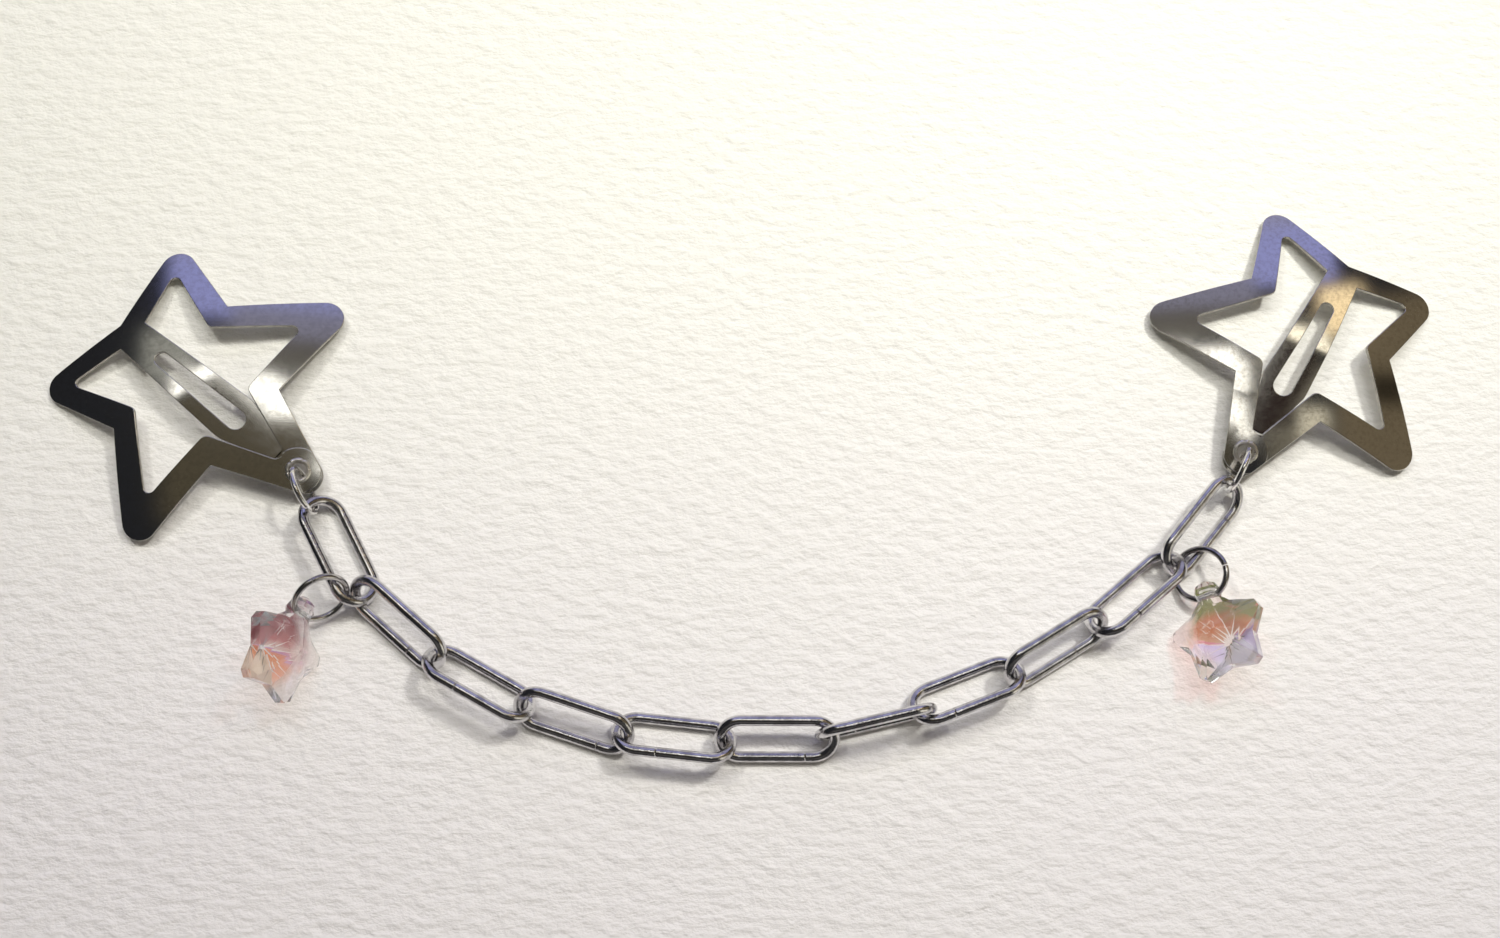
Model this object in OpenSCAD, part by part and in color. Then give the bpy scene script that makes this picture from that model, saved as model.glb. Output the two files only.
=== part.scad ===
// Hair chain laid flat as it is stored. Two star-shaped snap clips of sprung sheet steel are joined by a
// chain of long oval links, and a faceted glass star hangs on a jump ring near each end of the chain.
// Millimetres. X runs along the object, Y across it, Z up from the surface that it lies on.

/* [Star clip] */
// Length from the line of the two back points to the riveted point, between the centres of their roundings
star_len = 38.2; // [37:0.1:39.5]
// Width between the two side points, between the centres of their roundings
star_wid = 41.8; // [40:0.1:44]
// Radius of the rounded points
point_r = 2.8; // [2.4:0.1:3]
// Thickness of the spring sheet
sheet = 0.55; // [0.45:0.05:0.65]
// Radius to which the sheet is bowed
bow_r = 90; // [80:1:110]
// Downward slope of the tongue beyond its crease, in degrees
tongue_dip = 4.5; // [4:0.5:6]

/* [Eyelet] */
// Bore of the eyelet
eyelet_bore = 2.5; // [2.45:0.05:2.6]
// Wall of the eyelet's barrel
eyelet_wall = 0.3; // [0.2:0.05:0.4]
// Radius of the rolled rims
eyelet_roll = 0.36; // [0.34:0.01:0.4]

/* [Chain] */
// Outer length of a link
link_len = 18.9; // [18:0.1:22]
// Outer width of a link
link_wid = 8.05; // [7.8:0.05:8.6]
// Wire of the links
link_wire = 1.65; // [1.3:0.05:1.7]

/* [Jump rings] */
// Outer diameter of the rings between the clips and the chain
clip_ring_od = 8.1; // [8:0.05:8.3]
// Wire of those rings
clip_ring_wire = 0.9; // [0.7:0.05:0.95]
// Outer diameter of the rings that carry the glass stars
charm_ring_od = 8.95; // [8.7:0.05:9.6]
// Wire of those rings
charm_ring_wire = 0.95; // [0.7:0.05:1]

/* [Glass star] */
// Radius from the middle of the glass star to its points
drop_r = 7.4; // [7:0.1:7.8]
// Thickness between its two tables
drop_thick = 7.8; // [6.5:0.1:8.5]
// Radius of the drilled knob on its upper point
knob_r = 2.2; // [2:0.05:2.3]
// Bore through the knob
knob_bore = 1.7; // [1.5:0.05:1.9]

/* [Hidden] */
FIRST_LINK = 3;

// Clearance between pieces that hook through or seat on each other
gap = 0.05;
// Half angle of the fine slit where a jump ring closes
ring_slit = 1.2;
// How far a block that cuts or trims reaches past what it cuts
spare = 1;
// Steps of a full round, of a ring, of its wire and of the large balls, and of the arcs in the outlines
round_fn = 48;
ring_fn = 96;
wire_fn = 24;
ball_fn = 240;
arc_steps = 12;
corner_steps = 6;

// The chain from left to right. Heading and roll in degrees, then where the next link hooks in: side step
// from this link's axis and slack along it, in mm. The last link rests a little up, on a jump ring.
CHAIN = [
    // heading, roll, side step, slack, lift
    [-62, -34, 0.6, 0.75, 0],
    [-41, 50, -0.2, 0.2, 0],
    [-29, -46, 0.6, 0.35, 0],
    [-18, 44, 0.7, 0.4, 0],
    [-6, -38, 0.7, 0.2, 0],
    [0, 36, 0.8, 0.55, 0],
    [13, 87, 0.5, 0.8, 0],
    [21, -38, -0.2, 0.3, 0],
    [31, 50, -0.6, 0.3, 0],
    [40, -46, -0.3, 0.2, 0],
    [50, 36, 0, 0, 0.4]];
HEAD = 0;
ROLL = 1;
STEP = 2;
SLACK = 3;
LIFT = 4;

// Each clip ring: the way it faces and its tilt, the place round the end arc of the link where it hooks,
// all in degrees, its slack there in mm, and the angle of its slit. Each clip: heading of its riveted point.
LEFT_RING = [24, 81, -12, 0.16, -40];
RIGHT_RING = [-26, 87, 13, 0.18, -40];
FACING = 0;
TILT = 1;
HOOK = 2;
RING_SLACK = 3;
RING_SLIT = 4;
left_heading = -38.5;
right_heading = 238;

// Each glass star and its ring: centre of the ring from the end of the link that it is on, in mm. Then the
// way the ring faces, its tilt, the place of the knob round it, the swing and twist of the star there, and
// the angle of the ring's slit.
LEFT_DROP = [-5.85, 0.05, -54, 59, -88, -42, 6, 170];
RIGHT_DROP = [4.9, -0.85, 175, 32, 111, -13, 8, -160];
DROP_X = 0;
DROP_Y = 1;
DROP_FACING = 2;
DROP_TILT = 3;
DROP_PLACE = 4;
DROP_SWING = 5;
DROP_TWIST = 6;
DROP_SLIT = 7;

// Vectors and turning
function unit(v) = v / norm(v);
function dir(a) = [cos(a), sin(a)];
function side(a) = [-sin(a), cos(a)];
function flat(p) = [p[0], p[1]];
function about_z(a, p) = [p[0] * cos(a) - p[1] * sin(a), p[0] * sin(a) + p[1] * cos(a), p[2]];
function about_y(a, p) = [p[0] * cos(a) + p[2] * sin(a), p[1], p[2] * cos(a) - p[0] * sin(a)];
function about_x(a, p) = [p[0], p[1] * cos(a) - p[2] * sin(a), p[1] * sin(a) + p[2] * cos(a)];

// Arc of a rounded corner at b, between the edges from a and to c
function corner_arc(a, b, c, r, n = corner_steps) =
    let (u = unit(a - b), w = unit(c - b), half = acos(u * w) / 2, centre = b + unit(u + w) * r / sin(half))
    let (from = b + u * r / tan(half) - centre, to = b + w * r / tan(half) - centre)
    let (start = atan2(from[1], from[0]), turn = (atan2(to[1], to[0]) - start + 540) % 360 - 180)
    [for (i = [0 : n]) centre + r * dir(start + turn * i / n)];

// Closed outline from corners given as x, y and radius
function rounded(corners) =
    [for (i = [0 : len(corners) - 1])
        let (n = len(corners), b = corners[i])
        each b[2] == 0 ? [flat(b)]
            : corner_arc(flat(corners[(i + n - 1) % n]), flat(b), flat(corners[(i + 1) % n]), b[2])];

// Arc round a point of the star, between the two notches that its edges run to
function point_arc(before, centre, after, r, n = arc_steps) =
    let (a = before - centre, b = after - centre)
    let (start = atan2(a[1], a[0]) + acos(r / norm(a)), end = atan2(b[1], b[0]) - acos(r / norm(b)))
    let (turn = (end - start + 720) % 360)
    [for (i = [0 : n]) centre + r * dir(start + turn * i / n)];

// Star clip in plan. X runs from the line of the back points to the riveted point.
// Outer points and notches, counter-clockwise from the riveted point.
STAR = [
    // share of the length, share of the half width, 1 for a point and 0 for a notch
    [1, 0, 1],
    [0.696, 0.368, 0],
    [0.618, 1, 1],
    [0.288, 0.608, 0],
    [0, 0.6, 1],
    [0, 0, 0],
    [0, -0.6, 1],
    [0.288, -0.608, 0],
    [0.618, -1, 1],
    [0.696, -0.368, 0]];
// Corners of the opening inside the star, one half
OPENING = [
    // share of the length, share of the half width, corner radius as a share of the points' radius
    [0.937, 0, 0.36],
    [0.594, 0.227, 0.45],
    [0.581, 0.856, 0.32],
    [0.298, 0.397, 0.45],
    [0.007, 0.565, 0.32],
    [0.079, 0.115, 0.18]];
// Corners of the tongue, one half
TONGUE = [
    // share of the length, share of the half width, corner radius as a share of the points' radius
    [0.03, 0.127, 0],
    [0.64, 0.186, 1.8],
    [0.912, 0.045, 0.32]];
star_half = star_wid / 2;
function star_xy(row) = [row[0] * star_len, row[1] * star_half];
function star_corner(row) = [row[0] * star_len, row[1] * star_half, row[2] * point_r];
function mirrored(corners) =
    [for (i = [len(corners) - 1 : -1 : 0]) [corners[i][0], -corners[i][1], corners[i][2]]];

star_outline = [for (i = [0 : len(STAR) - 1])
    let (n = len(STAR), row = STAR[i])
    each row[2] == 0 ? [star_xy(row)]
        : point_arc(star_xy(STAR[(i + n - 1) % n]), star_xy(row), star_xy(STAR[(i + 1) % n]), point_r)];
opening_half = [for (row = OPENING) star_corner(row)];
opening_outline =
    rounded(concat(opening_half, mirrored([for (i = [1 : len(OPENING) - 1]) opening_half[i]])));
tongue_half = [for (row = TONGUE) star_corner(row)];
tongue_outline = rounded(concat(tongue_half, mirrored(tongue_half)));

// Places along the clip, from the line of the back points
bow_top = 0.534 * star_len;
crease_x = 0.43 * star_len;
slot_from = 0.244 * star_len;
slot_to = 0.641 * star_len;
// Radii of the slot's two ends
slot_r1 = 1.1;
slot_r2 = 1.55;
// The eyelet sits a little back from the centre of the riveted point's rounding
eyelet_back = 1.1;
eyelet_x = star_len - eyelet_back;
// The lapped tab at the rivet: its radius, where its leg starts to rise over the other one and where it is
// up, measured from the eyelet, and its reach to the inner and the outer side of its leg's middle line
tab_r = 3.5;
tab_rise_from = 10;
tab_rise_to = 3.3;
tab_inner = 1.4;
tab_outer = 4;
// Step that keeps the flat front of the tongue a hair below the bowed back of it
crease_step = 0.03;

// Bowed sheet: a shell between two balls about one centre, resting on its two back points
back_reach = norm(star_xy(STAR[4]) - [bow_top, 0]) + point_r;
bow_z = -sqrt(bow_r * bow_r - back_reach * back_reach);
top_r = bow_r + sheet;
lap_r = top_r + sheet;
// Height of the blocks that cut or trim the sheet
cut_h = bow_z + lap_r + 2 * spare;
function sheet_top(x) = bow_z + sqrt(top_r * top_r - (x - bow_top) * (x - bow_top));
// The eyelet stands square on the sheet, so its axis passes through the centre of the bow
eyelet_lean = asin((eyelet_x - bow_top) / top_r);
eyelet_z = bow_z + top_r * cos(eyelet_lean);

// Links
link_half = (link_len - link_wire) / 2;
link_bend = (link_wid - link_wire) / 2;
link_straight = link_half - link_bend;
function link_z(row) = link_wire / 2 + link_bend * abs(sin(row[ROLL])) + row[LIFT];
// Point of a link's wire centre, x and y being in the link's own plane
function on_link(i, x, y) =
    link_at(i) + about_z(CHAIN[i][HEAD], about_x(CHAIN[i][ROLL], [x, y, 0]));
// Centre of each link: half a link on, a hook of one wire and the slack back, then the side step
function link_at(i) = i == 0 ? [0, 0, link_z(CHAIN[0])]
    : let (a = CHAIN[i - 1], b = CHAIN[i], mean = (a[HEAD] + b[HEAD]) / 2)
      let (xy = flat(link_at(i - 1)) + link_half * (dir(a[HEAD]) + dir(b[HEAD]))
          - (link_wire + a[SLACK]) * dir(mean) + a[STEP] * side(mean))
      [xy[0], xy[1], link_z(b)];

// Rings: a ring's own x runs downhill across it and its own y level
function in_ring(facing, tilt, p) = about_z(facing, about_y(tilt, p));
last = len(CHAIN) - 1;
clip_ring_r = (clip_ring_od - clip_ring_wire) / 2;
charm_ring_r = (charm_ring_od - charm_ring_wire) / 2;
// A clip ring stands on its edge. Its centre is where the end arc of its link lies against its inside.
function clip_ring_z(ring) = clip_ring_wire / 2 + clip_ring_r * sin(ring[TILT]);
function clip_ring_at(ring, hooked) =
    let (reach = clip_ring_r - (clip_ring_wire + link_wire) / 2 - ring[RING_SLACK], z = clip_ring_z(ring))
    let (down = (z - hooked[2]) / sin(ring[TILT]))
    let (across = sqrt(reach * reach - down * down))
    let (xy = flat(hooked) - flat(in_ring(ring[FACING], ring[TILT], [down, -across, 0])))
    [xy[0], xy[1], z];
// Where that ring passes through its eyelet
function eyelet_at(ring, centre) =
    let (down = (centre[2] - eyelet_z) / sin(ring[TILT]))
    centre + in_ring(ring[FACING], ring[TILT], [down, sqrt(clip_ring_r * clip_ring_r - down * down), 0]);

// Where a ring hooks round the end arc of its link, end being -1 for the left end and 1 for the right
function hook(i, end, ring) =
    on_link(i, end * (link_straight + link_bend * cos(ring[HOOK])), link_bend * sin(ring[HOOK]));
left_hook = hook(0, -1, LEFT_RING);
right_hook = hook(last, 1, RIGHT_RING);
left_ring_at = clip_ring_at(LEFT_RING, left_hook);
right_ring_at = clip_ring_at(RIGHT_RING, right_hook);
left_clip_at = flat(eyelet_at(LEFT_RING, left_ring_at)) - eyelet_x * dir(left_heading);
right_clip_at = flat(eyelet_at(RIGHT_RING, right_ring_at)) - eyelet_x * dir(right_heading);

// Faceted glass star, its knob along its own x. Levels from the front table to the back table.
LEVELS = [
    // share of the point radius, share of the notch radius, share of the half thickness
    [0.20, 0.28, 1],
    [0.62, 0.72, 0.62],
    [1, 1, 0.22],
    [1, 1, -0.22],
    [0.62, 0.72, -0.62],
    [0.20, 0.28, -1]];
drop_half = drop_thick / 2;
star_points = 5;
notch_r = 0.73 * drop_r;
// Half angle that each blunt point takes at the middle of the star
blunt_angle = 5;
// The knob sits on the first point. The bore crosses it a little back from its middle, and widens from a
// share of the knob's radius outwards.
knob_x = 0.95 * drop_r;
knob_sides = 10;
bore_back = 0.6;
bore_x = knob_x - bore_back;
flare_from = 0.5;
flare = 1.15;
level_len = 3 * star_points;
function level_points(row) =
    [for (k = [0 : star_points - 1], j = [0 : 2])
        let (a = k * 360 / star_points)
        j < 2 ? concat(row[0] * drop_r * dir(a + (2 * j - 1) * blunt_angle), row[2] * drop_half)
            : concat(row[1] * notch_r * dir(a + 180 / star_points), row[2] * drop_half)];
drop_points = [for (row = LEVELS) each level_points(row)];
drop_faces = concat(
    [[for (k = [level_len - 1 : -1 : 0]) k]],
    [for (r = [0 : len(LEVELS) - 2], k = [0 : level_len - 1])
        let (a = r * level_len, n = (k + 1) % level_len)
        each [[a + k, a + n, a + level_len + n], [a + k, a + level_len + n, a + level_len + k]]],
    [[for (k = [0 : level_len - 1]) (len(LEVELS) - 1) * level_len + k]]);

// A drop hangs on its ring by the knob. A point of the drop, from the centre of the ring:
function in_drop(d, p) =
    let (swung = about_y(d[DROP_SWING], about_x(d[DROP_TWIST], [bore_x - p[0], -p[1], p[2]])))
    in_ring(d[DROP_FACING], d[DROP_TILT], about_z(d[DROP_PLACE], [charm_ring_r, 0, 0] + swung));
// The ring's height lets the lowest point of its drop just meet the surface
function drop_low(d) =
    min(concat([for (p = drop_points) in_drop(d, p)[2]], [in_drop(d, [knob_x, 0, 0])[2] - knob_r]));
function charm_ring_at(d, end) = [end[0] + d[DROP_X], end[1] + d[DROP_Y], -drop_low(d)];
left_charm_at = charm_ring_at(LEFT_DROP, on_link(0, link_half, 0));
right_charm_at = charm_ring_at(RIGHT_DROP, on_link(last, -link_half, 0));

// The origin is under the middle of the whole object
function clip_tips(at, heading) =
    [for (row = STAR) if (row[2] == 1) at + flat(about_z(heading, concat(star_xy(row), 0)))];
tips = concat(clip_tips(left_clip_at, left_heading), clip_tips(right_clip_at, right_heading));
function link_low(i) =
    let (h = CHAIN[i][HEAD], across = norm([link_bend * sin(h), link_bend * cos(CHAIN[i][ROLL]) * cos(h)]))
    link_at(i)[1] - link_straight * abs(sin(h)) - across - link_wire / 2;
x_low = min([for (p = tips) p[0]]) - point_r;
x_high = max([for (p = tips) p[0]]) + point_r;
y_low = min([for (i = [0 : last]) link_low(i)]);
y_high = max([for (p = tips) p[1]]) + point_r;
middle = [(x_low + x_high) / 2, (y_low + y_high) / 2, 0];

module placed() {
    translate(-middle) children();
}

// A ball whose poles lie sideways, clear of the sheet that is cut from it
module ball(r) {
    rotate([90, 0, 0]) sphere(r, $fn = ball_fn);
}

module prism(outline) {
    translate([0, 0, -spare]) linear_extrude(cut_h) polygon(outline);
}

// The sheet before it is cut out: the bowed shell, and over it the tab that laps the rivet
module bowed_sheet() {
    lap_way = unit(star_xy(STAR[9]) + star_xy([OPENING[1][0], -OPENING[1][1]]) - 2 * [eyelet_x, 0]);
    turn = asin(sheet / (tab_rise_from - tab_rise_to));
    hinge = [eyelet_x, 0] + tab_rise_from * lap_way;
    hinge_z = bow_z + sqrt(top_r * top_r - pow(norm(hinge - [bow_top, 0]), 2));
    difference() {
        union() {
            translate([bow_top, 0, bow_z]) ball(top_r);
            intersection() {
                translate([bow_top, 0, bow_z]) ball(lap_r);
                union() {
                    translate([eyelet_x, 0, -spare]) cylinder(r = tab_r, h = cut_h, $fn = round_fn);
                    translate([eyelet_x, 0, -spare]) rotate(atan2(lap_way[1], lap_way[0]))
                        cube([tab_rise_to, tab_outer, cut_h]);
                }
            }
            intersection() {
                translate([hinge[0], hinge[1], hinge_z])
                    rotate(turn, [-lap_way[1], lap_way[0], 0])
                    translate([bow_top - hinge[0], -hinge[1], bow_z - hinge_z]) ball(top_r);
                translate([eyelet_x, 0, -spare]) rotate(atan2(lap_way[1], lap_way[0]))
                    translate([tab_rise_to, -tab_inner, 0])
                    cube([tab_rise_from - tab_rise_to + spare, tab_inner + tab_outer, cut_h]);
            }
        }
        translate([bow_top, 0, bow_z]) ball(bow_r);
    }
}

module tongue_front() {
    intersection() {
        translate([crease_x, 0, sheet_top(crease_x) - crease_step]) rotate([0, tongue_dip, 0])
            translate([-spare, -star_half, -sheet]) cube([star_len, star_wid, sheet]);
        intersection() {
            prism(tongue_outline);
            translate([crease_x, -star_half, -spare]) cube([star_len, star_wid, cut_h]);
        }
    }
}

module slot() {
    taper = asin((slot_r2 - slot_r1) / (slot_to - slot_from));
    prism(concat(
        [for (i = [0 : arc_steps]) [slot_to, 0] + slot_r2 * dir((90 + taper) * (2 * i / arc_steps - 1))],
        [for (i = [0 : arc_steps])
            [slot_from, 0] + slot_r1 * dir(180 + (90 - taper) * (2 * i / arc_steps - 1))]));
}

module star_clip() {
    difference() {
        union() {
            intersection() {
                bowed_sheet();
                union() {
                    difference() {
                        prism(star_outline);
                        prism(opening_outline);
                    }
                    intersection() {
                        prism(tongue_outline);
                        translate([0, -star_half, -spare]) cube([crease_x, star_wid, cut_h]);
                    }
                }
            }
            tongue_front();
        }
        slot();
        translate([bow_top, 0, bow_z]) rotate([0, eyelet_lean, 0])
            cylinder(r = eyelet_bore / 2 + eyelet_wall + gap, h = lap_r + spare, $fn = round_fn);
    }
}

// Hollow rivet with a rolled rim above the tab and another under the sheet
module eyelet() {
    bore_r = eyelet_bore / 2;
    low = bow_r - gap;
    high = lap_r + gap;
    translate([bow_top, 0, bow_z]) rotate([0, eyelet_lean, 0])
        rotate_extrude($fn = round_fn) union() {
            translate([bore_r, low]) square([eyelet_wall, high - low]);
            for (end = [[high, 0], [low, 180]])
                translate([bore_r + eyelet_roll, end[0]]) rotate(end[1])
                    intersection() {
                        circle(eyelet_roll, $fn = round_fn);
                        translate([-eyelet_roll, 0]) square([2 * eyelet_roll, eyelet_roll]);
                    }
        }
}

module placed_clip(at, heading) {
    placed() translate([at[0], at[1], 0]) rotate(heading) children();
}

module left_star_clip() {
    color("#b4b2ad") placed_clip(left_clip_at, left_heading) star_clip();
}

module right_star_clip() {
    color("#b4b2ad") placed_clip(right_clip_at, right_heading) star_clip();
}

module left_eyelet() {
    color("#d8d5cb") placed_clip(left_clip_at, left_heading) eyelet();
}

module right_eyelet() {
    color("#d8d5cb") placed_clip(right_clip_at, right_heading) eyelet();
}

// Round wire bent to a ring whose ends meet at a fine slit, at the ring's own angle slit_at
module jump_ring(r, wire, slit_at) {
    rotate(slit_at + ring_slit) rotate_extrude(angle = 360 - 2 * ring_slit, $fn = ring_fn)
        translate([r, 0]) circle(d = wire, $fn = wire_fn);
}

module clip_ring(ring, centre) {
    placed() translate(centre) rotate(ring[FACING]) rotate([0, ring[TILT], 0])
        jump_ring(clip_ring_r, clip_ring_wire, ring[RING_SLIT]);
}

module left_clip_ring() {
    color("#c4c2c0") clip_ring(LEFT_RING, left_ring_at);
}

module right_clip_ring() {
    color("#c4c2c0") clip_ring(RIGHT_RING, right_ring_at);
}

// One oval link: two straight sides and two half rounds of the same wire
module chain_link(i) {
    color("#c9c8c8") placed() translate(link_at(i)) rotate(CHAIN[i][HEAD]) rotate([CHAIN[i][ROLL], 0, 0])
        for (end = [0, 180]) rotate(end) {
            translate([link_straight, 0, 0]) rotate(-90) rotate_extrude(angle = 180, $fn = round_fn)
                translate([link_bend, 0]) circle(d = link_wire, $fn = wire_fn);
            translate([-link_straight, link_bend, 0]) rotate([0, 90, 0])
                cylinder(d = link_wire, h = 2 * link_straight, $fn = wire_fn);
        }
}

module charm_ring(d, centre) {
    placed() translate(centre) rotate(d[DROP_FACING]) rotate([0, d[DROP_TILT], 0])
        jump_ring(charm_ring_r, charm_ring_wire, d[DROP_SLIT]);
}

module left_charm_ring() {
    color("#8f8a86") charm_ring(LEFT_DROP, left_charm_at);
}

module right_charm_ring() {
    color("#8f8a86") charm_ring(RIGHT_DROP, right_charm_at);
}

// Glass star: faceted body, faceted ball on one point, and a bore across the ball flared at both ends
module glass_star() {
    difference() {
        union() {
            polyhedron(drop_points, drop_faces);
            translate([knob_x, 0, 0]) rotate([0, 90, 0]) sphere(knob_r, $fn = knob_sides);
        }
        translate([bore_x, 0, 0]) rotate([90, 0, 0])
            cylinder(d = knob_bore, h = 4 * knob_r, center = true, $fn = round_fn);
        for (s = [-1, 1]) translate([bore_x, s * knob_r * flare_from, 0]) rotate([-90 * s, 0, 0])
            cylinder(r1 = knob_bore / 2, r2 = knob_bore / 2 + flare, h = knob_r, $fn = round_fn);
    }
}

module placed_drop(d, centre) {
    placed() translate(centre) rotate(d[DROP_FACING]) rotate([0, d[DROP_TILT], 0]) rotate(d[DROP_PLACE])
        translate([charm_ring_r, 0, 0]) rotate([0, d[DROP_SWING], 0]) rotate([d[DROP_TWIST], 0, 0])
        translate([bore_x, 0, 0]) rotate(180) glass_star();
}

module left_glass_star() {
    color("#e6c3cf") placed_drop(LEFT_DROP, left_charm_at);
}

module right_glass_star() {
    color("#dfe3d6") placed_drop(RIGHT_DROP, right_charm_at);
}

left_star_clip();
left_eyelet();
left_clip_ring();
for (i = [0 : last])
    chain_link(i);
left_charm_ring();
left_glass_star();
right_charm_ring();
right_glass_star();
right_clip_ring();
right_eyelet();
right_star_clip();
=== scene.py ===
# %% [markdown]
# # A hair chain with star clips
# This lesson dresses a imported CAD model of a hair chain. Two sprung star clips are joined by a chain of
# long oval links, and a faceted glass star hangs near each end. The CAD gives the sizes and the places.
# Blender adds what a maker would see up close: the rolled and sheared edge of the sheet, the drawn
# wire with its butt seams, the split rim of the rivet and the rainbow coating of the glass.

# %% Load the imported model
import math

import bmesh
import bpy
import numpy as np
from mathutils import Matrix, Vector
from mathutils.bvhtree import BVHTree
from mathutils.geometry import delaunay_2d_cdt


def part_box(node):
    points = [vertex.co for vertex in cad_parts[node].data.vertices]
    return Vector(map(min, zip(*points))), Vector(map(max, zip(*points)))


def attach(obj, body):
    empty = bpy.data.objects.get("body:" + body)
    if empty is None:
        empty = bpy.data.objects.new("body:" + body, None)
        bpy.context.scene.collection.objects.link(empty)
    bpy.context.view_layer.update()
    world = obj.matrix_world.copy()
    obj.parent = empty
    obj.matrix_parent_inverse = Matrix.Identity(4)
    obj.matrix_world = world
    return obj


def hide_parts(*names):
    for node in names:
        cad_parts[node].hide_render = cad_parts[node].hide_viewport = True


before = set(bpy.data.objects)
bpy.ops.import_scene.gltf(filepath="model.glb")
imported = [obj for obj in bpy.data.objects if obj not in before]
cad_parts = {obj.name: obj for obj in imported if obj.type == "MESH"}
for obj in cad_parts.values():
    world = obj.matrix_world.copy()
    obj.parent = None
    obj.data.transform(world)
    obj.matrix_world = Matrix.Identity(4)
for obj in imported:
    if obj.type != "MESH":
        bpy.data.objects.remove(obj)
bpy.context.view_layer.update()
MM = 0.001

# %% [markdown]
# ## Camera
# The photograph looks down from about 77 degrees, a little from the front. A camera is placed by its
# position and the point that it looks at. Its own Z axis points back from that point, and X stays level.

# %% Camera
EYE = Vector((-11.65, -53.95, 243.65)) * MM
AIM = Vector((-1.01, 1.02, 0)) * MM
LENS, NEAREST = 38.28, 0.01
camera_data = bpy.data.cameras.new("camera")
camera_data.lens = LENS
camera_data.clip_start = NEAREST
camera = bpy.data.objects.new("camera", camera_data)
back = (EYE - AIM).normalized()
level = Vector((0, 1, 0)).cross(back).normalized()
turn = Matrix((level, back.cross(level), back)).transposed().to_4x4()
camera.matrix_world = Matrix.Translation(EYE) @ turn
bpy.context.scene.collection.objects.link(camera)
bpy.context.scene.camera = camera
print("camera looks down at", round(math.degrees(math.asin(back.z)), 1), "degrees")

# %% [markdown]
# ## A helper for node trees
# Materials, the world and Geometry Nodes are all trees of nodes. One helper adds a node of any kind, sets
# its options, and gives each input either a value or a link from another node's socket.


# %% Helper for nodes
def add(tree, kind, inputs=None, **options):
    node = tree.nodes.new(kind)
    for key, value in options.items():
        setattr(node, key, value)
    for key, value in (inputs or {}).items():
        if isinstance(value, bpy.types.NodeSocket):
            tree.links.new(value, node.inputs[key])
        else:
            node.inputs[key].default_value = value
    return node


def maths(tree, operation, a, b=0.0, c=0.0):
    return add(tree, "ShaderNodeMath", {0: a, 1: b, 2: c}, operation=operation).outputs[0]


def ramp(tree, value, low, high, to_low=0.0, to_high=1.0, kind="SMOOTHSTEP"):
    inputs = {"Value": value, "From Min": low, "From Max": high, "To Min": to_low, "To Max": to_high}
    return add(tree, "ShaderNodeMapRange", inputs, interpolation_type=kind).outputs["Result"]


def blend_colour(tree, share, first, second):
    node = add(tree, "ShaderNodeMix", {0: share, 6: first, 7: second}, data_type="RGBA")
    return node.outputs[2]


# %% [markdown]
# ## Light
# Polished metal looks like what stands round it, so the room matters more than the lamps. The world is
# painted by the direction of view. A table lists patches with soft edges: pale cards, a cool window beyond
# the far side, a warm wall, dark shelves. Each row says where its patch lies from left to right and from
# front to back, how soft its edge is and how bright it shines. A later row covers an earlier one. An image
# of a studio could do the same, but a table can be read and changed row by row.

# %% World
world = bpy.data.worlds.new("studio")
world.use_nodes = True
room = world.node_tree
room.nodes.clear()
look = add(room, "ShaderNodeTexCoord").outputs["Generated"]
axes = add(room, "ShaderNodeSeparateXYZ", {0: look})
dx, dy, dz = axes.outputs


def band(value, low, high, soft):
    rise = ramp(room, value, low - soft, low + soft)
    fall = ramp(room, value, high - soft, high + soft, 1.0, 0.0)
    return maths(room, "MULTIPLY", rise, fall)


def patch(across, along, soft):
    both = maths(room, "MULTIPLY", band(dx, *across, soft), band(dy, *along, soft))
    return maths(room, "MULTIPLY", both, ramp(room, dz, *ABOVE_TABLE))


ABOVE_TABLE, UNDER_TABLE = (0.0, 0.15), (-0.2, 0.25)
SHADE = (0.022, 0.023, 0.027)
LOW = (0.2, 0.19, 0.18)
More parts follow.
